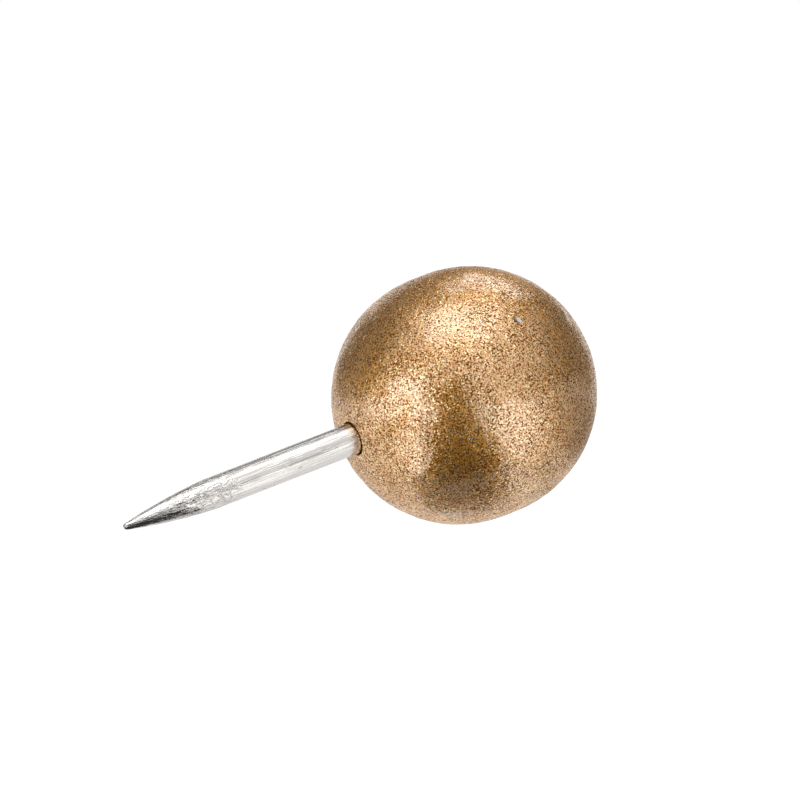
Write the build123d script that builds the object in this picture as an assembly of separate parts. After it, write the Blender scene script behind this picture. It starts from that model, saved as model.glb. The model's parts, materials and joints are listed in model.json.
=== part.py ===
from build123d import *
from math import asin, cos, degrees, radians, sin, tan
import os

# Ball-headed push pin: a turned ball on a steel needle, held by adhesive in a drilled hole.
# It lies on a table as it comes to rest, with the ball and the needle's tip both on z = 0.
# Lengths are in millimetres and angles in degrees.

# Ball head
head_diameter = 9.5
head_belt = 0.55  # straight belt round the middle, which makes the ball longer along the needle
mouth_round = 0.06  # eased edge where the hole meets the ball

# Needle outside the ball
needle_diameter = 1.2
needle_reach = 10.0  # from the ball to the very tip
point_length = 3.7
shoulder_angle = 3.2  # between the ground point and the shank, where they meet
tip_radius = 0.13

# Anchor rings on the buried end of the needle
ring_count = 8
ring_pitch = 0.75
ring_depth = 0.06

# Drilled hole and the adhesive in it
hole_clearance = 0.05  # all round the needle
hole_end_gap = 0.3  # between the needle's inner end and the full-width end of the hole
drill_angle = 118.0
glue_recess = 0.8  # how far below the mouth the adhesive stops

# Radii about the pin's own axis
head_radius = head_diameter / 2
needle_radius = needle_diameter / 2
hole_radius = needle_radius + hole_clearance

# Places along that axis, measured from the tip
belt_start = needle_reach + head_radius
belt_end = belt_start + head_belt
head_end = belt_end + head_radius
needle_end = needle_reach + ring_count * ring_pitch
hole_floor = needle_end + hole_end_gap


def turned(half_section):
    """Spins a half section, drawn as (radius, distance from the tip), about the pin's axis."""
    return revolve(Plane.XZ * half_section, Axis.Z)


def hole_section(start):
    """Half section of the drilled hole, from start to its conical end."""
    cone_height = hole_radius / tan(radians(drill_angle / 2))
    return make_face(
        Polyline(
            (0, start),
            (hole_radius, start),
            (hole_radius, hole_floor),
            (0, hole_floor + cone_height),
            close=True,
        )
    )


def make_ball_head():
    """Two half balls with the belt between them, drilled, and eased at the hole's mouth."""
    near_half = TangentArc((0, needle_reach), (head_radius, belt_start), tangent=(1, 0))
    belt = Line((head_radius, belt_start), (head_radius, belt_end))
    far_half = TangentArc((head_radius, belt_end), (0, head_end), tangent=(0, 1))
    axis_line = Line((0, head_end), (0, needle_reach))
    section = make_face(near_half + belt + far_half + axis_line) - hole_section(0)
    mouth = section.vertices().sort_by(Axis.Y)[0]
    return turned(fillet(mouth, mouth_round))


def point_curves():
    """The rounded tip and the convex ground flank, tangent to each other and ending at the shoulder."""
    slope = radians(shoulder_angle)
    flank_height = point_length - tip_radius
    # This radius lets the flank leave the shoulder at its angle and run smoothly into the tip.
    flank_radius = (needle_radius**2 + flank_height**2 - tip_radius**2) / (
        2 * (needle_radius * cos(slope) - flank_height * sin(slope) - tip_radius)
    )
    shoulder = Vector(needle_radius, point_length)
    flank_centre = shoulder - flank_radius * Vector(cos(slope), -sin(slope))
    tip_centre = Vector(0, tip_radius)
    join = tip_centre + tip_radius * (tip_centre - flank_centre).normalized()
    tip = TangentArc((0, 0), join, tangent=(1, 0))
    flank = TangentArc(join, shoulder, tangent=tip % 1)
    return tip + flank


def make_needle():
    """Ground point, plain shank as far as the ball, then rings that slope away from the mouth."""
    point = point_curves()
    stations = [point @ 1]
    for ring in range(ring_count):
        start = needle_reach + ring * ring_pitch
        stations.append((needle_radius, start))
        stations.append((needle_radius - ring_depth, start + ring_pitch))
    shank = Polyline(*stations, (0, needle_end), (0, 0))
    return turned(make_face(point + shank))


def make_glue_bond(needle):
    """What is left of the hole below the recess when the needle is in it."""
    return turned(hole_section(needle_reach + glue_recess)) - needle


def resting_place():
    """Lays the pin down so that ball and tip touch the table, centred over the origin."""
    # The table touches two balls on the axis: the head's near half and the rounded tip.
    spacing = belt_start - tip_radius
    tilt = asin((head_radius - tip_radius) / spacing)
    leftmost = tip_radius * (1 - cos(tilt))
    rightmost = belt_end * cos(tilt) + head_radius
    tip_end_x = (leftmost - rightmost) / 2
    tip_end_z = tip_radius * (1 - sin(tilt))
    return Pos(tip_end_x, 0, tip_end_z) * Rot(0, 90 - degrees(tilt), 0)


needle = make_needle()
pieces = {
    "ball_head": make_ball_head(),
    "needle": needle,
    "glue_bond": make_glue_bond(needle),
}

os.makedirs("parts", exist_ok=True)
for name, piece in pieces.items():
    placed = resting_place() * piece
    placed.label = name
    export_step(placed, f"parts/{name}.step")
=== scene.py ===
"""Ball-headed push pin: the looks of its pieces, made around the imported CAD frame."""

import json
from math import atan2, cos, hypot, pi, radians, sin, sqrt, tan

import bmesh
import bpy
from mathutils import Matrix, Vector


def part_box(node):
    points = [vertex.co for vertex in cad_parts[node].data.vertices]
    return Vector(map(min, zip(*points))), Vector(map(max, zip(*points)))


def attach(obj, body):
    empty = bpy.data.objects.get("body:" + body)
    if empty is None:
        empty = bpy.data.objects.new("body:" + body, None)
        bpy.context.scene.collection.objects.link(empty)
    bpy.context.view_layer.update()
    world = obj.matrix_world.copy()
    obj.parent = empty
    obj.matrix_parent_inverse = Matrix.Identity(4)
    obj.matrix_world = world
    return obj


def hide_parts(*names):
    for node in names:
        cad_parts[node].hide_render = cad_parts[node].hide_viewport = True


bl_info = {
    "name": "Push Pin",
    "version": (1, 0, 0),
    "blender": (4, 5, 0),
    "location": "3D View > Sidebar > Push Pin",
    "description": "Makes a ball-headed push pin and the stage it is pictured on",
    "category": "Add Mesh",
}

MM = 0.001  # metres
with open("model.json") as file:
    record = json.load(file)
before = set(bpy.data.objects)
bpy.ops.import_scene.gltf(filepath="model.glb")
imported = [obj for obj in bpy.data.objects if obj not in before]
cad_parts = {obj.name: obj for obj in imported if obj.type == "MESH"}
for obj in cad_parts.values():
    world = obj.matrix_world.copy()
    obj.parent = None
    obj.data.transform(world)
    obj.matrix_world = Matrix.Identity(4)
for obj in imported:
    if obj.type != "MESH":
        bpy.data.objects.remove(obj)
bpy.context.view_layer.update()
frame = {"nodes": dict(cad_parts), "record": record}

# Places and sizes that the frame gives
MOUNT = frame["record"]["mounts"][0]
ALONG = -Vector(MOUNT["axis"])  # from the tip towards the ball
SHANK_LENGTH = MOUNT["dims"]["length_mm"] * MM
SHANK_RADIUS = MOUNT["dims"]["r_mm"] * MM
MOUTH = Vector(MOUNT["pos_m"]) + ALONG * SHANK_LENGTH / 2
HEAD_LOW, HEAD_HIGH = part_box("ball_head")
HEAD_SPAN = HEAD_HIGH - HEAD_LOW
HEAD_MIDDLE = (HEAD_LOW + HEAD_HIGH) / 2
HEAD_FOOT = Vector((HEAD_MIDDLE.x, HEAD_MIDDLE.y, 0))
HEAD_BELT = (HEAD_SPAN.x - HEAD_SPAN.y) / ALONG.x

# The pin is modelled upright, with its tip at the origin and the ball above, then laid down.
POINT_LENGTH = 3.7 * MM
TILT = atan2(ALONG.z, ALONG.x)
TIP = MOUTH - ALONG * (POINT_LENGTH + SHANK_LENGTH)
LAID_DOWN = Matrix.Translation(TIP) @ Matrix.Rotation(pi / 2 - TILT, 4, "Y")


def length(name, description, default):
    """A property for a length in metres."""
    return bpy.props.FloatProperty(
        name=name,
        description=description,
        default=default,
        min=0.0,
        precision=6,
        unit="LENGTH",
    )


def angle(name, description, default):
    """A property for an angle, with its default in degrees."""
    return bpy.props.FloatProperty(
        name=name, description=description, default=radians(default), subtype="ANGLE"
    )


def colour(name, description, default):
    """A property for a colour."""
    return bpy.props.FloatVectorProperty(
        name=name,
        description=description,
        default=default,
        min=0.0,
        max=1.0,
        subtype="COLOR",
    )


def level(name, description, default):
    """A property for a plain number."""
    return bpy.props.FloatProperty(
        name=name, description=description, default=default, min=0.0
    )


class BallSettings(bpy.types.PropertyGroup):
    """Sizes and colours of the lacquered ball."""

    diameter: length("Diameter", "Across the ball, at right angles to the needle", HEAD_SPAN.y)
    belt: length("Belt", "How much longer the ball is along the needle", HEAD_BELT)
    clearance: length("Hole clearance", "Gap between the needle and the hole", 0.05 * MM)
    hole_depth: length("Hole depth", "From the mouth to the full-width end", 6.3 * MM)
    mouth_round: length("Mouth rounding", "Radius of the eased edge of the hole", 0.06 * MM)
    lump_height: length("Lump height", "Height of the ball's broad unevenness", 0.03 * MM)
    dimple_height: length("Dimple height", "Height of the lacquer's soft dimples", 0.02 * MM)
    peel_height: length("Orange peel height", "Height of the lacquer's fine peel", 0.016 * MM)
    flake_size: length("Flake size", "Size of the metal flakes in the lacquer", 0.04 * MM)
    flake_lean: level("Flake lean", "How far the flakes lean from the surface", 0.3)
    light: colour("Light bronze", "Colour of the bright flakes", (0.92, 0.420, 0.045))
    spark: colour("Spark", "Colour of the few mirror-like flakes", (1.0, 0.76, 0.36))
    dark: colour("Dark bronze", "Colour between the flakes", (0.19, 0.063, 0.005))
    # Painted shade: the colour of the marks' cracks, pits and dents
    shaded_hollow: colour("Hollow", "Colour of the dark hollows in the marks", (0.10, 0.045, 0.012))
    # Primer in the chips, and also the painted highlight on the nib and the scuff's raised edge
    primer_and_highlight: colour("Primer", "Colour of the primer in the chips", (0.78, 0.76, 0.66))


class NeedleSettings(bpy.types.PropertyGroup):
    """Sizes and colours of the steel needle."""

    radius: length("Radius", "Radius of the round shank", SHANK_RADIUS)
    shank: length("Shank", "Plain length between the point and the ball", SHANK_LENGTH)
    point: length("Point", "Length of the ground point", POINT_LENGTH)
    tip_radius: length("Tip radius", "Radius of the very tip", 0.13 * MM)
    shoulder: angle("Shoulder", "Angle where the point meets the shank", 3.2)
    ring_count: bpy.props.IntProperty(
        name="Rings", description="Anchor rings on the buried end", default=8, min=1
    )
    ring_pitch: length("Ring pitch", "From one anchor ring to the next", 0.75 * MM)
    ring_depth: length("Ring depth", "How deep each anchor ring is cut", 0.06 * MM)
    grinding: length("Grinding", "Height of the waves left by grinding the point", 0.014 * MM)
    steel: colour("Steel", "Colour of the bright plated steel", (0.80, 0.77, 0.74))
    stain: colour("Stain", "Colour of the grooves and pits in the steel", (0.36, 0.35, 0.34))


class AdhesiveSettings(bpy.types.PropertyGroup):
    """Colour of the adhesive in the ball's hole."""

    resin: colour("Resin", "Colour of the cured adhesive", (0.72, 0.6, 0.38))


class StageSettings(bpy.types.PropertyGroup):
    """The camera's place and the even light on the stage."""

    azimuth: angle("Azimuth", "Where the camera stands round the pin", -27.7)
    elevation: angle("Elevation", "How far the camera is above the horizon", 1.3)
    distance: length("Distance", "From the camera to the plane of the ball's middle", 0.6)
    frame_width: length("Frame width", "Picture's width at the ball", 29.907 * MM)
    ambient: level("Ambient light", "Strength of the even light from all round", 0.5)


class PushPinSettings(bpy.types.PropertyGroup):
    """All settings of the push pin."""

    ball: bpy.props.PointerProperty(type=BallSettings)
    needle: bpy.props.PointerProperty(type=NeedleSettings)
    adhesive: bpy.props.PointerProperty(type=AdhesiveSettings)
    stage: bpy.props.PointerProperty(type=StageSettings)


# Shader nodes


class Socket:
    """A shader socket that takes part in Python's arithmetic."""

    def __init__(self, sheet, socket):
        self.sheet = sheet
        self.socket = socket

    def other(self, output):
        """Another output of the same node."""
        return Socket(self.sheet, self.socket.node.outputs[output])

    def math(self, operation, first, second):
        """Adds a Math node."""
        return self.sheet.node("Math", {"operation": operation}, {0: first, 1: second})

    def __add__(self, value):
        return self.math("ADD", self, value)

    __radd__ = __add__

    def __sub__(self, value):
        return self.math("SUBTRACT", self, value)

    def __rsub__(self, value):
        return self.math("SUBTRACT", value, self)

    def __mul__(self, value):
        return self.math("MULTIPLY", self, value)

    __rmul__ = __mul__

    def __abs__(self):
        return self.math("ABSOLUTE", self, 0.0)


class Sheet:
    """The nodes of one material or world."""

    def __init__(self, owner):
        owner.use_nodes = True
        self.tree = owner.node_tree
        self.tree.nodes.clear()

    def node(self, kind, settings=None, inputs=None, output=0):
        """Adds a node, sets it up, fills or links its inputs, and gives one of its outputs."""
        made = self.tree.nodes.new("ShaderNode" + kind)
        for name, value in (settings or {}).items():
            setattr(made, name, value)
        for name, value in (inputs or {}).items():
            if isinstance(value, Socket):
                self.tree.links.new(value.socket, made.inputs[name])
            else:
                made.inputs[name].default_value = value
        return Socket(self, made.outputs[output]) if made.outputs else None

    def mix(self, factor, first, second):
        """Mixes two colours."""
        inputs = {0: factor, 6: first, 7: second}
        return self.node("Mix", {"data_type": "RGBA"}, inputs, output=2)

    def ease(self, value, start, end):
        """0 up to start, 1 from end, smooth between."""
        settings = {"interpolation_type": "SMOOTHSTEP"}
        inputs = {"Value": value, "From Min": start, "From Max": end}
        return self.node("MapRange", settings, inputs)

    def vector(self, operation, first, second, output=0):
        """Vector arithmetic."""
        return self.node("VectorMath", {"operation": operation}, {0: first, 1: second}, output)

    def scatter(self, tone, reach):
        """A vector that a random colour points each way, up to half the reach along each axis."""
        return self.vector("MULTIPLY", self.vector("SUBTRACT", tone, (0.5, 0.5, 0.5)), reach)

    def red(self, tone):
        """The red part of a colour."""
        return self.node("SeparateColor", None, {"Color": tone})

    def noise(self, place, size, detail=2.0, distortion=0.0):
        """Noise whose features are about size across."""
        inputs = {
            "Vector": place,
            "Scale": 1 / size,
            "Detail": detail,
            "Distortion": distortion,
        }
        return self.node("TexNoise", None, inputs)

    def cells(self, place, size, output):
        """Random cells about size across."""
        return self.node("TexVoronoi", None, {"Vector": place, "Scale": 1 / size}, output)

    def bump(self, height, distance, normal=None):
        """A normal bent by a height."""
        inputs = {"Height": height, "Distance": distance}
        if normal:
            inputs["Normal"] = normal
        return self.node("Bump", None, inputs)

    def finish(self, shader, kind="Material"):
        """Leads the shader to the output of the material or world."""
        self.node("Output" + kind, None, {"Surface": shader})


def opaque(plain):
    """A colour with full alpha."""
    return (*plain, 1.0)


# Mesh tools


def clear_selection():
    """Leaves nothing selected, so that an operator acts on its own piece only."""
    bpy.ops.object.select_all(action="DESELECT")


def start_editing(name):
    """Names the new primitive, puts its place in its mesh and opens it in edit mode."""
    piece = bpy.context.object
    piece.name = name
    piece.data.name = name
    bpy.ops.object.transform_apply(location=True, rotation=True, scale=True)
    bpy.ops.object.mode_set(mode="EDIT")
    return piece


def select(piece, kind, wanted):
    """Selects the faces, edges or vertices that are wanted."""
    bpy.ops.mesh.select_mode(type={"faces": "FACE", "edges": "EDGE", "verts": "VERT"}[kind])
    bpy.ops.mesh.select_all(action="DESELECT")
    mesh = bmesh.from_edit_mesh(piece.data)
    for part in getattr(mesh, kind):
        part.select_set(wanted(part))
    bmesh.update_edit_mesh(piece.data)


def selected_places(piece):
    """Where the selected vertices are."""
    mesh = bmesh.from_edit_mesh(piece.data)
    return [v.co.copy() for v in mesh.verts if v.select]


def move_ring(piece, radius, height):
    """Makes the selected ring level, with a radius about the axis and a height."""
    ring = selected_places(piece)
    old_radius = sum(hypot(p.x, p.y) for p in ring) / len(ring)
    old_height = sum(p.z for p in ring) / len(ring)
    grow = radius / old_radius
    bpy.ops.transform.resize(value=(grow, grow, 0), center_override=(0, 0, old_height))
    bpy.ops.transform.translate(value=(0, 0, height - old_height))


def extrude_ring(piece, radius, height):
    """Extrudes the selected ring to a new radius and height."""
    bpy.ops.mesh.extrude_region_move()
    move_ring(piece, radius, height)


def apply_modifier(piece, kind, **settings):
    """Adds a modifier, sets it up and applies it."""
    modifier = piece.modifiers.new(kind.title(), kind)
    for name, value in settings.items():
        setattr(modifier, name, value)
    bpy.ops.object.modifier_apply(modifier=modifier.name)


def apply_relief(piece, size, height, group, ruler=None):
    """Raises and sinks the surface by a cloud pattern, within a vertex group."""
    pattern = bpy.data.textures.new("relief", "CLOUDS")
    pattern.noise_scale = size
    pattern.noise_depth = 1
    apply_modifier(
        piece,
        "DISPLACE",
        texture=pattern,
        texture_coords="OBJECT" if ruler else "LOCAL",
        texture_coords_object=ruler,
        strength=height,
        mid_level=0.5,
        vertex_group=group,
    )
    bpy.data.textures.remove(pattern)


def weigh(piece, name, weight):
    """Makes a vertex group from a function of a vertex's place."""
    group = piece.vertex_groups.new(name=name)
    for vertex in piece.data.vertices:
        group.add([vertex.index], weight(vertex.co), "REPLACE")
    return name


def smooth_step(value, start, end):
    """0 up to start, 1 from end, smooth between."""
    share = min(max((value - start) / (end - start), 0.0), 1.0)
    return share * share * (3 - 2 * share)


def lay_down(piece, material, node):
    """Turns the upright piece to where its CAD node lies, and puts it in the frame."""
    piece.vertex_groups.clear()
    piece.matrix_world = LAID_DOWN
    bpy.ops.object.transform_apply(location=True, rotation=True, scale=True)
    piece.data.materials.clear()
    piece.data.materials.append(material)
    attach(piece, "root")
    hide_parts(node)


# Ball head

# Marks on the lacquer: direction from the ball's middle, turn from level in degrees, half length,
# half width and depth in mm, and shade from -1, which is painted shade in cracks, pits and dents
# and below raised edges, to 1, which is bare primer in the chips and rubbed places and a painted
# highlight on the nib and the scuff's raised edge. A mark with a depth below 0 stands proud.
MARKS = (
    # Chip, with painted shade in its crack and in the nick and the scratch below it
    ((0.057, -0.799, 0.599), -70, 0.19, 0.100, 0.02, 1.0),
    ((0.030, -0.808, 0.588), -55, 0.26, 0.050, 0.00, -1.0),
    ((-0.015, -0.849, 0.528), 0, 0.05, 0.040, 0.00, -0.9),
    ((0.040, -0.865, 0.500), 85, 0.14, 0.025, 0.00, -0.5),
    # Scuff underneath: painted highlight on its raised upper edge, painted shade in a line and a
    # speck below it, and the pit beside it, also painted shade
    ((-0.272, -0.265, -0.925), 8, 0.55, 0.380, 0.05, 0.12),
    ((-0.310, -0.303, -0.901), 8, 0.42, 0.060, -0.02, 0.7),
    ((-0.276, -0.297, -0.914), 10, 0.40, 0.040, 0.00, -0.7),
    ((-0.245, -0.231, -0.942), 0, 0.09, 0.070, 0.00, -0.8),
    ((-0.180, -0.489, -0.853), -25, 0.13, 0.090, 0.05, -0.8),
    # Nib near the upper right edge with a painted highlight, and beside it a line of painted shade
    # and a rubbed place
    ((0.556, -0.537, 0.635), 60, 0.14, 0.110, -0.05, 0.5),
    ((0.623, -0.445, 0.643), -50, 0.12, 0.050, 0.02, -0.8),
    ((0.620, -0.510, 0.600), 50, 0.40, 0.250, 0.02, 0.2),
    # Dent with painted shade and a rubbed place, low on the right, and a low swelling on top
    ((0.500, -0.470, -0.730), 20, 0.25, 0.160, 0.05, -0.3),
    ((0.410, -0.430, -0.800), 10, 0.35, 0.220, 0.03, 0.3),
    ((0.190, -0.270, 0.940), 15, 0.45, 0.140, -0.03, 0.1),
    # Behind, where the same wear, with painted shade in its crack and pits, is taken for granted
    ((0.520, 0.760, 0.390), 35, 0.16, 0.080, 0.03, 0.9),
    ((0.550, 0.750, 0.360), 20, 0.20, 0.030, 0.00, -0.9),
    ((-0.420, 0.820, -0.390), -20, 0.12, 0.090, 0.05, -0.8),
    ((0.850, 0.350, -0.380), 60, 0.40, 0.250, 0.04, 0.15),
    ((0.120, 0.640, 0.760), -40, 0.15, 0.120, -0.04, 0.2),
    ((0.940, -0.100, 0.320), 75, 0.11, 0.070, 0.04, -0.7),
)
DEEPEST = 0.05 * MM  # depth or height of the largest dents and nibs
DENT_FADE = (0.4, 1.3)  # shares of a mark's size between which its dent runs out
SHADE_FADE = (0.7, 1.1)  # shares of a mark's size between which its shade runs out
RAGGED_SIZE = 0.08 * MM  # size of the waves in the edges of the shades
RAGGED_REACH = 0.12 * MM  # from one side of those waves to the other

BALL_CUTS = 29  # along each edge of the starting cube; odd, so that a line runs round the middle
BLOCK = 2  # faces from the pole to the edge of the block that the hole takes
BLOCK_REACH = BLOCK + 0.25  # faces; past the middles of the block's own, short of the next ones
MOUTH_TURNS = (0.3, 0.65, 1.0)  # shares of a quarter turn at the rings of the eased mouth
HOLE_EDGE = 0.2 * MM  # from each end of the hole's wall to a ring that keeps the end crisp
HOLE_MIDDLE = 1.5 * MM  # from the mouth to a ring on the hole's wall
DRILL_ANGLE = radians(118)
CONE_RINGS = (0.1, 0.9)  # shares of the drill's cone, counted from its wide end
SKIN_FADE = (1.1, 2.2)  # radii of the mouth between which the unevenness of the skin sets in
LUMP_SIZE = 1.8 * MM
DIMPLE_SIZE = 0.5 * MM
PEEL_SIZE = 0.17 * MM

# Patterns in the lacquer. A band holds the two values between which a pattern sets in.
SPARK_SIZE = 1.2  # in plain flakes
SPARK_BAND = (0.80, 0.86)
SPARK_LEAN = 0.4  # how much further a spark leans than a plain flake
GRAIN_SIZE = 0.06 * MM
GRAIN_DEPTH = 0.5  # in depths of a pore
CLOUD_SIZE = 1.2 * MM
CLOUD_SHARE = 0.2  # of the clouds in the grain
SHINE_BAND = (0.39, 0.58)
PORE_SIZE = 0.24 * MM
PORE_FADE = (0.08, 0.2)  # distances from a pore's middle, in pore sizes, between which it runs out
PORE_BAND = (0.5, 0.6)
LACQUER_BUMP = 0.02 * MM


def mark_matrix(direction, turn, half_length, half_width):
    """Where a mark is on the ball, which way it runs and how large it is."""
    out = Vector(direction).normalized()
    level_axis = Vector((0, 0, 1)).cross(out).normalized()
    axes = Matrix((level_axis, out.cross(level_axis), out)).transposed()
    turned = axes @ Matrix.Rotation(radians(turn), 3, "Z")
    sizes = Vector((half_length, half_width, max(half_length, half_width))) * MM
    place = HEAD_MIDDLE + out * (HEAD_SPAN.x + HEAD_SPAN.y) / 4
    return Matrix.LocRotScale(place, turned, sizes)


def mark_weight(sign):
    """A function that gives a place's share of the deepest dent, or nib where sign is -1."""
    marks = []
    for direction, turn, half_length, half_width, depth, _ in MARKS:
        if depth * sign > 0:
            matrix = mark_matrix(direction, turn, half_length, half_width)
            marks.append((matrix.inverted() @ LAID_DOWN, abs(depth) * MM / DEEPEST))

    def weight(place):
        return max(
            share * (1 - smooth_step((to_mark @ place).length, *DENT_FADE))
            for to_mark, share in marks
        )

    return weight


def make_ball_mesh(ball, needle):
    """A ball from a cube, with a belt, a drilled hole and an uneven lacquered skin."""
    radius = ball.diameter / 2
    mouth = needle.point + needle.shank
    near = Vector((0, 0, mouth + radius))
    far = near + Vector((0, 0, ball.belt))
    clear_selection()
    bpy.ops.mesh.primitive_cube_add(size=ball.diameter, location=near)
    piece = start_editing("ball_lacquered")

    # Cube to ball
    bpy.ops.mesh.select_all(action="SELECT")
    bpy.ops.mesh.subdivide(number_cuts=BALL_CUTS)
    bpy.ops.transform.tosphere(value=1)
    grow = radius / (selected_places(piece)[0] - near).length
    bpy.ops.transform.resize(value=(grow, grow, grow), center_override=near)
    select(piece, "faces", lambda face: face.calc_center_median().z > near.z)
    bpy.ops.mesh.extrude_region_move(TRANSFORM_OT_translate={"value": far - near})

    # Hole, whose rings are widened because the subdivision draws them in
    block = BLOCK_REACH * ball.diameter / (BALL_CUTS + 1)

    def in_block(face):
        middle = face.calc_center_median()
        return middle.z < near.z and max(abs(middle.x), abs(middle.y)) < block

    select(piece, "faces", in_block)
    bpy.ops.mesh.delete(type="FACE")
    select(piece, "edges", lambda edge: edge.is_boundary)
    bpy.ops.transform.tosphere(value=1)
    widen = 3 / (2 + cos(2 * pi / (8 * BLOCK)))
    bore = needle.radius + ball.clearance
    rim = bore + ball.mouth_round
    rim_height = near.z - sqrt(radius**2 - rim**2)
    move_ring(piece, rim * widen, rim_height)
    for share in MOUTH_TURNS:
        turn = share * pi / 2
        eased = bore + ball.mouth_round * (1 - sin(turn))
        extrude_ring(piece, eased * widen, rim_height + ball.mouth_round * (1 - cos(turn)))
    floor = mouth + ball.hole_depth
    for height in (rim_height + HOLE_EDGE, mouth + HOLE_MIDDLE, floor - HOLE_EDGE, floor):
        extrude_ring(piece, bore * widen, height)
    cone = bore / tan(DRILL_ANGLE / 2)
    for share in CONE_RINGS:
        extrude_ring(piece, bore * (1 - share) * widen, floor + cone * share)
    bpy.ops.mesh.extrude_region_move()
    bpy.ops.mesh.merge(type="CENTER")
    bpy.ops.object.mode_set(mode="OBJECT")
    apply_modifier(piece, "SUBSURF", levels=2, render_levels=2)

    # Skin, which is uneven all over but smooth round the mouth and in the hole
    def outside(place):
        if place.z > near.z:
            return 1.0
        return smooth_step(hypot(place.x, place.y) / rim, *SKIN_FADE)

    skin = weigh(piece, "skin", outside)
    apply_relief(piece, LUMP_SIZE, ball.lump_height, skin)
    apply_relief(piece, DIMPLE_SIZE, ball.dimple_height, skin)
    apply_relief(piece, PEEL_SIZE, ball.peel_height, skin)
    for name, sign in (("dents", 1), ("nibs", -1)):
        group = weigh(piece, name, mark_weight(sign))
        apply_modifier(
            piece, "DISPLACE", strength=-sign * DEEPEST, mid_level=0.0, vertex_group=group
        )
    return piece


def mark_masks(sheet, place):
    """Shares of primer and painted highlight, and of painted shade, that the marks give each
    place.
    """
    waves = sheet.noise(place, RAGGED_SIZE).other("Color")
    ragged = sheet.vector("ADD", place, sheet.scatter(waves, (RAGGED_REACH,) * 3))
    bare_and_highlight = dark = 0.0
    for direction, turn, half_length, half_width, _, shade in MARKS:
        spot, way, sizes = mark_matrix(direction, turn, half_length, half_width).decompose()
        inputs = {
            "Vector": ragged,
            "Location": spot,
            "Rotation": way.to_euler(),
            "Scale": sizes,
        }
        own = sheet.node("Mapping", {"vector_type": "TEXTURE"}, inputs)
        away = sheet.node("VectorMath", {"operation": "LENGTH"}, {0: own}, "Value")
        inside = (1 - sheet.ease(away, *SHADE_FADE)) * abs(shade)
        # A shade above 0 gives primer and painted highlight, one below 0 painted shade
        if shade > 0:
            bare_and_highlight = bare_and_highlight + inside
        else:
            dark = dark + inside
    return bare_and_highlight, dark


def bronze_lacquer(ball):
    """Pale metal flakes that lean each way in darker lacquer, with pores, wear, painted shade and
    highlights
    """
    material = bpy.data.materials.new("bronze_lacquer")
    sheet = Sheet(material)
    place = sheet.node("TexCoord", output="Object")
    flake = sheet.cells(place, ball.flake_size, "Color")
    spark = sheet.red(sheet.cells(place, ball.flake_size * SPARK_SIZE, "Color"))
    spark = sheet.ease(spark, *SPARK_BAND)
    lean = sheet.scatter(flake, ball.flake_lean * (1 + spark * SPARK_LEAN))
    normal = sheet.vector("ADD", sheet.node("NewGeometry", output="Normal"), lean)
    grain = sheet.noise(place, GRAIN_SIZE, detail=3.0)
    cloud = sheet.noise(place, CLOUD_SIZE, detail=3.0)
    shine = sheet.ease(grain + (cloud - 0.5) * CLOUD_SHARE, *SHINE_BAND)
    # Pores, sunk by the bump and painted dark without coat: painted shade in the pits
    pore = sheet.cells(place, PORE_SIZE, "Distance")
    chosen = sheet.ease(sheet.red(pore.other("Color")), *PORE_BAND)
    shaded_hollow = (1 - sheet.ease(pore, *PORE_FADE)) * chosen
    bare_and_highlight, dark = mark_masks(sheet, place)
    normal = sheet.bump(grain * GRAIN_DEPTH - shaded_hollow - dark, LACQUER_BUMP, normal)
    shine = shine * (1 - shaded_hollow)
    tone = sheet.mix(shine, opaque(ball.dark), opaque(ball.light))
    tone = sheet.mix(spark, tone, opaque(ball.spark))
    # Bare primer in the chips, and painted highlights on the nib and the scuff's raised edge
    tone = sheet.mix(bare_and_highlight, tone, opaque(ball.primer_and_highlight))
    # Painted shade in the cracks, pits and dents of the marks
    tone = sheet.mix(dark, tone, opaque(ball.shaded_hollow))
    shader = sheet.node(
        "BsdfPrincipled",
        None,
        {
            "Base Color": tone,
            "Metallic": 1 - bare_and_highlight * 0.8,
            "Roughness": 0.54 - shine * 0.03 - spark * 0.32,
            "Coat Weight": shine,
            "Coat Roughness": 0.25,
            "Coat IOR": 3.2,
            "Normal": normal,
        },
    )
    sheet.finish(shader)
    return material


class PUSHPIN_OT_ball(bpy.types.Operator):
    """Makes the lacquered ball with its drilled hole"""

    bl_idname = "push_pin.ball"
    bl_label = "Ball head"

    def execute(self, context):
        settings = context.scene.push_pin
        piece = make_ball_mesh(settings.ball, settings.needle)
        bpy.ops.object.shade_smooth()
        lay_down(piece, bronze_lacquer(settings.ball), "ball_head")
        return {"FINISHED"}


# Needle

NEEDLE_SIDES = 80
TIP_STEPS = 6
FLANK_STEPS = 70
SHANK_STEPS = 60
RING_STEP = 0.01 * MM  # length of the step out to full width at the start of an anchor ring
END_INSET = 0.3  # of the needle's radius, on its buried end

# Grinding marks, which are strongest on the side that lies down and towards the camera
LOWER_SIDE = (0.8, -0.6)  # x and y of that side on the upright needle
LOWER_FADE = (-0.2 * MM, 0.3 * MM)  # places across the needle between which the marks set in
WAVE_START = (0.5 * MM, 2.2 * MM)  # from the tip
WAVE_END = (0.2 * MM, 1.3 * MM)  # past the shoulder
WAVE_REST = 0.15  # share of the waves that the other side has
WAVE_SIZE = 0.16 * MM
WAVE_STRETCH = 3  # along the needle
GROOVE_START = (1.0 * MM, 2.6 * MM)  # from the tip
GROOVE_END = (4.2 * MM, 5.2 * MM)  # from the tip
GROOVE_REST = 0.2  # share of the grooves that the other side has
GROOVE_WIDTH = 0.05  # in values of the noise that they follow
GROOVE_DEPTH = 2.5  # in depths of a pit

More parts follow.
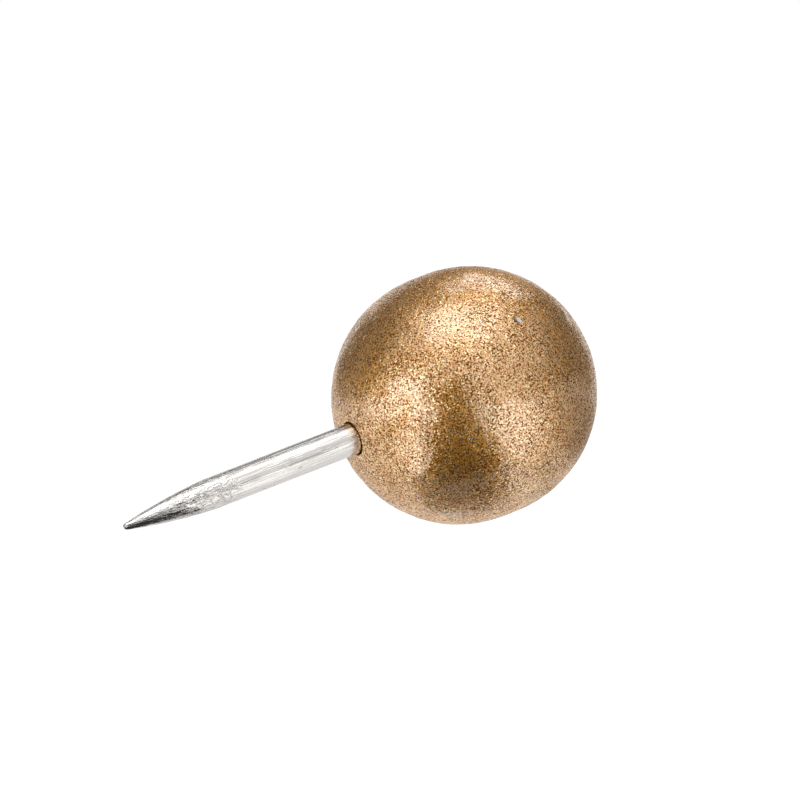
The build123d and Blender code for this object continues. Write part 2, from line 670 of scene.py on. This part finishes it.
# Patterns in the steel. A scale below 1 draws a pattern out along the needle. A stain is how far a
# pattern brings the steel to its stained colour.
DRAWN_SCALE = (1, 1, 0.02)
GROUND_SCALE = (1, 1, 0.3)
POINT_FADE = (-0.4 * MM, 0.5 * MM)  # from the shoulder
LINE_SIZE = 0.06 * MM
LINE_BAND = (0.4, 0.6)
LINE_STAIN = 0.12
SWIRL_SIZE = 0.2 * MM
GROOVE_STAIN = 0.4
TOOTH_SIZE = 0.04 * MM
PIT_SIZE = 0.3 * MM
PIT_FADE = (0.06, 0.14)  # distances from a pit's middle, in pit sizes, between which it runs out
PIT_STAIN = 0.5
STEEL_BUMP = 0.006 * MM
SMOOTH_ANGLE = radians(35)  # steeper edges stay crisp


def point_profile(needle):
    """Radius and height of the rounded tip and the convex flank that is tangent to it."""
    slope = needle.shoulder
    tip = needle.tip_radius
    flank_height = needle.point - tip
    flank = (needle.radius**2 + flank_height**2 - tip**2) / (
        2 * (needle.radius * cos(slope) - flank_height * sin(slope) - tip)
    )
    centre_radius = needle.radius - flank * cos(slope)
    centre_height = needle.point + flank * sin(slope)
    join = atan2(tip - centre_height, -centre_radius)
    profile = []
    for step in range(1, TIP_STEPS + 1):
        turn = -pi / 2 + (join + pi / 2) * step / TIP_STEPS
        profile.append((tip * cos(turn), tip + tip * sin(turn)))
    for step in range(1, FLANK_STEPS + 1):
        turn = join + (-slope - join) * step / FLANK_STEPS
        profile.append((centre_radius + flank * cos(turn), centre_height + flank * sin(turn)))
    return profile


def make_needle_mesh(needle):
    """A needle from one small circle at its tip, drawn out ring by ring."""
    profile = point_profile(needle)
    first_radius, first_height = profile[0]
    clear_selection()
    bpy.ops.mesh.primitive_circle_add(
        vertices=NEEDLE_SIDES,
        radius=first_radius,
        location=(0, 0, first_height),
        fill_type="TRIFAN",
    )
    piece = start_editing("needle_ground")
    select(piece, "verts", lambda vertex: hypot(vertex.co.x, vertex.co.y) < first_radius / 2)
    bpy.ops.transform.translate(value=(0, 0, -first_height))
    select(piece, "edges", lambda edge: edge.is_boundary)
    mouth = needle.point + needle.shank
    for step in range(1, SHANK_STEPS + 1):
        profile.append((needle.radius, needle.point + needle.shank * step / SHANK_STEPS))
    for ring in range(needle.ring_count):
        start = mouth + ring * needle.ring_pitch
        if ring:
            profile.append((needle.radius, start + RING_STEP))
        profile.append((needle.radius - needle.ring_depth, start + needle.ring_pitch))
    for radius, height in profile[1:]:
        extrude_ring(piece, radius, height)
    bpy.ops.mesh.edge_face_add()
    bpy.ops.mesh.inset(thickness=needle.radius * END_INSET)
    bpy.ops.mesh.select_all(action="SELECT")
    bpy.ops.mesh.normals_make_consistent(inside=False)
    bpy.ops.object.mode_set(mode="OBJECT")

    # Waves left by grinding, which run along the point and fade out past the shoulder
    def ground(place):
        rise = smooth_step(place.z, *WAVE_START)
        fall = smooth_step(place.z - needle.point, *WAVE_END)
        lower = smooth_step(place.x * LOWER_SIDE[0] + place.y * LOWER_SIDE[1], *LOWER_FADE)
        return rise * (1 - fall) * (WAVE_REST + (1 - WAVE_REST) * lower)

    group = weigh(piece, "ground", ground)
    bpy.ops.object.empty_add()
    ruler = bpy.context.object
    ruler.scale = (1, 1, WAVE_STRETCH)
    ruler.select_set(False)
    bpy.context.view_layer.objects.active = piece
    piece.select_set(True)
    bpy.context.view_layer.update()
    apply_relief(piece, WAVE_SIZE, needle.grinding, group, ruler)
    bpy.data.objects.remove(ruler)
    return piece


def bright_steel(needle):
    """Drawn and plated wire, with lines along the shank and grinding marks on the point."""
    material = bpy.data.materials.new("bright_steel")
    sheet = Sheet(material)
    own = sheet.node(
        "Mapping",
        {"vector_type": "TEXTURE"},
        {
            "Vector": sheet.node("TexCoord", output="Object"),
            "Location": TIP,
            "Rotation": (0, pi / 2 - TILT, 0),
        },
    )
    height = sheet.node("SeparateXYZ", None, {"Vector": own}, output="Z")
    point_start, point_end = (needle.point + fade for fade in POINT_FADE)
    on_point = 1 - sheet.ease(height, point_start, point_end)
    worked = sheet.ease(height, *GROOVE_START) * (1 - sheet.ease(height, *GROOVE_END))
    lower = height.other("X") * LOWER_SIDE[0] + height.other("Y") * LOWER_SIDE[1]
    worked = worked * (GROOVE_REST + (1 - GROOVE_REST) * sheet.ease(lower, *LOWER_FADE))
    drawn = sheet.node("Mapping", None, {"Vector": own, "Scale": DRAWN_SCALE})
    lines = sheet.ease(sheet.noise(drawn, LINE_SIZE), *LINE_BAND)
    ground = sheet.node("Mapping", None, {"Vector": own, "Scale": GROUND_SCALE})
    swirl = sheet.noise(ground, SWIRL_SIZE, distortion=1.0)
    groove = (1 - sheet.ease(abs(swirl - 0.5), 0.0, GROOVE_WIDTH)) * worked
    tooth = sheet.noise(ground, TOOTH_SIZE, detail=3.0)
    pit = 1 - sheet.ease(sheet.cells(ground, PIT_SIZE, "Distance"), *PIT_FADE)
    relief = lines + tooth * on_point - groove * GROOVE_DEPTH - pit
    stain = lines * LINE_STAIN + groove * GROOVE_STAIN + pit * PIT_STAIN
    shader = sheet.node(
        "BsdfPrincipled",
        None,
        {
            "Base Color": sheet.mix(stain, opaque(needle.steel), opaque(needle.stain)),
            "Metallic": 1.0,
            "Roughness": 0.1 + lines * 0.1 + on_point * 0.02,
            "Normal": sheet.bump(relief, STEEL_BUMP),
        },
    )
    sheet.finish(shader)
    return material


class PUSHPIN_OT_needle(bpy.types.Operator):
    """Makes the steel needle with its ground point and anchor rings"""

    bl_idname = "push_pin.needle"
    bl_label = "Needle"

    def execute(self, context):
        needle = context.scene.push_pin.needle
        piece = make_needle_mesh(needle)
        bpy.ops.object.shade_smooth_by_angle(angle=SMOOTH_ANGLE)
        lay_down(piece, bright_steel(needle), "needle")
        return {"FINISHED"}


# Adhesive

BUBBLE_SIZE = 0.12 * MM
BUBBLE_BUMP = 0.01 * MM
RESIN_CLOUD_SIZE = 0.5 * MM
DEEP_RESIN = 0.55  # share of its colour where the resin is darkest


def cured_resin(tint):
    """Glossy amber resin with small bubbles."""
    material = bpy.data.materials.new("cured_resin")
    sheet = Sheet(material)
    place = sheet.node("TexCoord", output="Object")
    bubbles = sheet.cells(place, BUBBLE_SIZE, "Distance")
    cloud = sheet.noise(place, RESIN_CLOUD_SIZE, detail=3.0)
    deep = tuple(DEEP_RESIN * channel for channel in tint)
    shader = sheet.node(
        "BsdfPrincipled",
        None,
        {
            "Base Color": sheet.mix(cloud, opaque(deep), opaque(tint)),
            "Roughness": 0.18 + cloud * 0.15,
            "Normal": sheet.bump(bubbles, BUBBLE_BUMP),
        },
    )
    sheet.finish(shader)
    return material


class PUSHPIN_OT_adhesive(bpy.types.Operator):
    """Gives the adhesive in the hole its finish"""

    bl_idname = "push_pin.adhesive"
    bl_label = "Adhesive"

    def execute(self, context):
        bond = frame["nodes"]["glue_bond"]
        resin = cured_resin(context.scene.push_pin.adhesive.resin)
        for holder in bond.material_slots:
            holder.material = resin
        return {"FINISHED"}


# Stage

# Where the middle of the ball falls in the picture, in shares of its width from the middle
BALL_RIGHT = (464.2 - 400) / 800
BALL_UP = (400 - 395.2) / 800
CLIP_START = 0.01  # metres from the camera
CLIP_END = 10.0  # metres from the camera

FLOOR_SIZE = 3.0  # metres
FLOOR_PAINT = (0.9, 0.9, 0.9)
FLOOR_WHITE = 1.15  # strength of the white that the camera sees
FLOOR_SHARE = 0.88  # of that white; the rest shows the shadow

WALL_RADIUS = 0.45  # metres
WALL_SEGMENTS = 64
WALL_RINGS = 32
WALL_BRIGHTNESS = (0.16, 0.97)  # where it is darkest and brightest
WALL_BRIGHT_SIDE = (10, 45)  # azimuth from the camera and elevation, in degrees
WALL_TURN = (0.3, 0.95)  # shares of the bright direction at which it is darkest and brightest

# Lamps: name, azimuth from the camera and elevation in degrees, distance from the ball, width and
# height in metres, and radiance
SOFTBOXES = (
    ("top_softbox", -6, 72, 0.12, (0.10, 0.08), 1.45),
    ("back_softbox", 162, 56, 0.15, (0.078, 0.06), 2.0),
    ("rim_softbox", -160, 24, 0.15, (0.05, 0.04), 0.7),
    ("left_softbox", -47, 8, 0.14, (0.10, 0.055), 2.0),
)

# Level cards: name, height above the floor in mm, brightness, and corners in mm from below the
# ball, to the right and towards the camera
LEVEL_CARDS = (
    (
        "left_reflector",
        0.01,
        1.95,
        ((-11, 12), (-8, 14), (-9, 19), (-45, 90), (-100, 80), (-100, 5), (-19, 6), (-14, 9)),
    ),
    (
        "near_reflector",
        0.01,
        1.45,
        (
            (-8.8, 6.3), (-2.6, 3.5), (-2.5, 5.7), (-5.0, 9.9),
            (-8, 14), (-11, 12), (-11, 9.2), (-9, 8),
        ),
    ),
    (
        "right_reflector",
        0.01,
        1.65,
        ((4.4, 4.2), (4.8, 6.4), (6.9, 14), (32, 95), (95, 60), (14, 9), (7, 4)),
    ),
    (
        "back_reflector",
        0.02,
        0.85,
        (
            (-60, 6), (-14, 6.2), (-9, 6.3), (-3.4, 3.9), (-1.5, 1.8),
            (1.5, 1.8), (4, 0), (4, -80), (-60, -80),
        ),
    ),
    (
        "side_reflector",
        0.02,
        0.75,
        ((4, 0), (4, -80), (100, -80), (100, 30), (14, 6), (4.5, 3)),
    ),
    ("far_side", 0.03, 0.36, ((8.5, 2.5), (100, 28), (100, -80), (30, -80), (7.5, -6))),
    (
        "dark_well",
        -20,
        0.02,
        ((-14, 8), (14, 8), (20, 14), (22, 30), (24, 80), (-28, 80), (-20, 42), (-16, 20)),
    ),
    # Dim well: painted shade, the ball's shadow on the floor under it as the ball mirrors it
    ("dim_well", -20, 0.25, ((-14, 8), (14, 8), (12, -12), (-12, -12))),
    (
        "dark_sliver",
        0.03,
        0.04,
        (
            (-14.4, 7.5), (-12.6, 6.65), (-9.2, 5.35), (-8.9, 7.4),
            (-10, 13), (-13, 13), (-15, 10),
        ),
    ),
)

# Upright cards that face the camera: name, how far they stand towards it in mm, brightness, and
# corners in mm to the right and up
UPRIGHT_CARDS = (
    (
        "dark_card",
        19,
        0.02,
        ((-6.3, 0), (5.6, 0), (3.4, 4), (1.6, 7.5), (-0.9, 12.5), (-3.2, 8.5), (-5.6, 7)),
    ),
    ("dark_post", 12, 0.03, ((-11.2, 0), (-10, 0), (-10, 5.6), (-11.2, 5.6))),
    ("backdrop", -200, 1.05, ((-115, 0), (115, 0), (115, 75), (-115, 75))),
)

# Upright card that faces the pin from the right: name, how far it stands to the right in mm,
# brightness, and corners in mm towards the camera and up
FLANK_CARD = ("flank_reflector", 60, 0.45, ((-30, 0), (30, 0), (30, 14), (-30, 14)))


def camera_axes(stage):
    """Right, up and back as seen through the camera."""
    azimuth, elevation = stage.azimuth, stage.elevation
    right = Vector((cos(azimuth), sin(azimuth), 0))
    back = Vector(
        (
            sin(azimuth) * cos(elevation),
            -cos(azimuth) * cos(elevation),
            sin(elevation),
        )
    )
    return right, back.cross(right), back


def make_camera(stage):
    """The camera, aimed so that the ball falls at its place in the picture."""
    right, up, back = camera_axes(stage)
    aim = HEAD_MIDDLE - (right * BALL_RIGHT + up * BALL_UP) * stage.frame_width
    bpy.ops.object.camera_add(
        location=aim + back * stage.distance,
        rotation=(-back).to_track_quat("-Z", "Y").to_euler(),
    )
    camera = bpy.context.object
    camera.name = "camera"
    camera.data.lens = camera.data.sensor_width * stage.distance / stage.frame_width
    camera.data.clip_start = CLIP_START
    camera.data.clip_end = CLIP_END
    bpy.context.scene.camera = camera


def towards(stage, azimuth, elevation):
    """A direction from the pin, with its azimuth counted to the right from the camera."""
    turn = stage.azimuth + radians(azimuth)
    rise = radians(elevation)
    return Vector((sin(turn) * cos(rise), -cos(turn) * cos(rise), sin(rise)))


def add_softbox(stage, name, azimuth, elevation, distance, size, radiance):
    """A soft area lamp that faces the ball, as bright as radiance wherever it is mirrored."""
    out = towards(stage, azimuth, elevation)
    bpy.ops.object.light_add(
        type="AREA",
        location=HEAD_MIDDLE + out * distance,
        rotation=out.to_track_quat("Z", "Y").to_euler(),
    )
    lamp = bpy.context.object
    lamp.name = name
    lamp.data.shape = "RECTANGLE"
    lamp.data.size, lamp.data.size_y = size
    lamp.data.energy = radiance * pi * size[0] * size[1]
    lamp.visible_camera = False


def finish_card(card, brightness, bright_side=None):
    """Lights a card, evenly or brighter to one side, for reflections only."""
    material = bpy.data.materials.new(card.name)
    sheet = Sheet(material)
    light = {"Strength": brightness}
    if bright_side:
        out = sheet.node("TexCoord", output="Object")
        out = sheet.node("VectorMath", {"operation": "NORMALIZE"}, {0: out})
        facing = sheet.vector("DOT_PRODUCT", out, bright_side, "Value")
        inputs = {"Value": facing, "From Min": WALL_TURN[0], "From Max": WALL_TURN[1]}
        low, high = brightness
        light = {"Color": low + (high - low) * sheet.node("MapRange", None, inputs)}
    sheet.finish(sheet.node("Emission", None, light))
    material.cycles.emission_sampling = "NONE"
    card.data.materials.append(material)
    for ray in ("camera", "diffuse", "transmission", "volume_scatter", "shadow"):
        setattr(card, "visible_" + ray, False)


def add_card(stage, name, brightness, corners):
    """A card with its corners in mm from below the ball: right, towards the camera and up."""
    axes = towards(stage, 90, 0), towards(stage, 0, 0), Vector((0, 0, 1))
    clear_selection()
    bpy.ops.mesh.primitive_circle_add(vertices=len(corners), fill_type="NGON")
    card = start_editing(name)
    mesh = bmesh.from_edit_mesh(card.data)
    for vertex, corner in zip(mesh.verts, corners):
        vertex.co = HEAD_FOOT
        for axis, share in zip(axes, corner):
            vertex.co += axis * share * MM
    bmesh.update_edit_mesh(card.data)
    bpy.ops.object.mode_set(mode="OBJECT")
    finish_card(card, brightness)


def add_cards(stage):
    """All the cards that the ball and the needle mirror."""
    for name, lift, brightness, corners in LEVEL_CARDS:
        add_card(stage, name, brightness, [(right, near, lift) for right, near in corners])
    for name, near, brightness, corners in UPRIGHT_CARDS:
        add_card(stage, name, brightness, [(right, near, up) for right, up in corners])
    name, right, brightness, corners = FLANK_CARD
    add_card(stage, name, brightness, [(right, near, up) for near, up in corners])


def add_walls(stage):
    """The round wall of the studio, closed above, which is brightest above the camera."""
    clear_selection()
    bpy.ops.mesh.primitive_uv_sphere_add(
        segments=WALL_SEGMENTS, ring_count=WALL_RINGS, radius=WALL_RADIUS
    )
    walls = start_editing("studio_walls")
    bpy.ops.mesh.select_all(action="SELECT")
    bpy.ops.mesh.bisect(plane_co=(0, 0, 0), plane_no=(0, 0, 1), clear_inner=True)
    bpy.ops.object.mode_set(mode="OBJECT")
    finish_card(walls, WALL_BRIGHTNESS, towards(stage, *WALL_BRIGHT_SIDE))


def seen_directly(sheet):
    """1 for rays from the camera, through glass and off metal, and 0 for the light on the pin."""
    camera = sheet.node("LightPath", output="Is Camera Ray")
    return camera + camera.other("Is Transmission Ray") + camera.other("Is Glossy Ray")


def add_floor():
    """A pale floor with the pin's faint shadow. Reflections show the cards in its place."""
    clear_selection()
    bpy.ops.mesh.primitive_plane_add(size=FLOOR_SIZE)
    floor = start_editing("floor")
    bpy.ops.object.mode_set(mode="OBJECT")
    material = bpy.data.materials.new("white_floor")
    sheet = Sheet(material)
    lit = sheet.node("BsdfDiffuse", None, {"Color": opaque(FLOOR_PAINT)})
    white = sheet.node("Emission", None, {"Strength": FLOOR_WHITE})
    share = seen_directly(sheet) * FLOOR_SHARE
    sheet.finish(sheet.node("MixShader", None, {0: share, 1: lit, 2: white}))
    material.cycles.emission_sampling = "NONE"
    floor.data.materials.append(material)
    floor.visible_glossy = False


def make_background(scene, ambient):
    """White for the camera and for metal, and a softer even light for the rest."""
    world = bpy.data.worlds.new("studio")
    scene.world = world
    sheet = Sheet(world)
    strength = ambient + seen_directly(sheet) * (1 - ambient)
    white = {"Color": (1, 1, 1, 1), "Strength": strength}
    sheet.finish(sheet.node("Background", None, white), "World")
    world.cycles.sampling_method = "NONE"


class PUSHPIN_OT_stage(bpy.types.Operator):
    """Makes the floor, the lamps, the cards, the background and the camera"""

    bl_idname = "push_pin.stage"
    bl_label = "Stage"

    def execute(self, context):
        scene = context.scene
        stage = scene.push_pin.stage
        make_camera(stage)
        make_background(scene, stage.ambient)
        add_floor()
        add_walls(stage)
        for softbox in SOFTBOXES:
            add_softbox(stage, *softbox)
        add_cards(stage)
        scene.view_settings.view_transform = "Standard"
        return {"FINISHED"}


# Panel and registration


class PUSHPIN_PT_panel(bpy.types.Panel):
    """Lists the push pin's settings and the steps that make it"""

    bl_label = "Push Pin"
    bl_idname = "PUSHPIN_PT_panel"
    bl_space_type = "VIEW_3D"
    bl_region_type = "UI"
    bl_category = "Push Pin"

    def draw(self, context):
        settings = context.scene.push_pin
        for group, operator in (
            (settings.ball, PUSHPIN_OT_ball),
            (settings.needle, PUSHPIN_OT_needle),
            (settings.adhesive, PUSHPIN_OT_adhesive),
            (settings.stage, PUSHPIN_OT_stage),
        ):
            box = self.layout.box()
            for name in group.__annotations__:
                box.prop(group, name)
            box.operator(operator.bl_idname)


CLASSES = (
    BallSettings,
    NeedleSettings,
    AdhesiveSettings,
    StageSettings,
    PushPinSettings,
    PUSHPIN_OT_ball,
    PUSHPIN_OT_needle,
    PUSHPIN_OT_adhesive,
    PUSHPIN_OT_stage,
    PUSHPIN_PT_panel,
)


def register():
    """Makes the settings, the steps and the panel known to Blender."""
    for item in CLASSES:
        bpy.utils.register_class(item)
    bpy.types.Scene.push_pin = bpy.props.PointerProperty(type=PushPinSettings)


def unregister():
    """Takes them away again."""
    del bpy.types.Scene.push_pin
    for item in reversed(CLASSES):
        bpy.utils.unregister_class(item)


def main():
    """Makes the pin and its stage."""
    register()
    bpy.ops.push_pin.ball()
    bpy.ops.push_pin.needle()
    bpy.ops.push_pin.adhesive()
    bpy.ops.push_pin.stage()


if __name__ == "__main__":
    main()
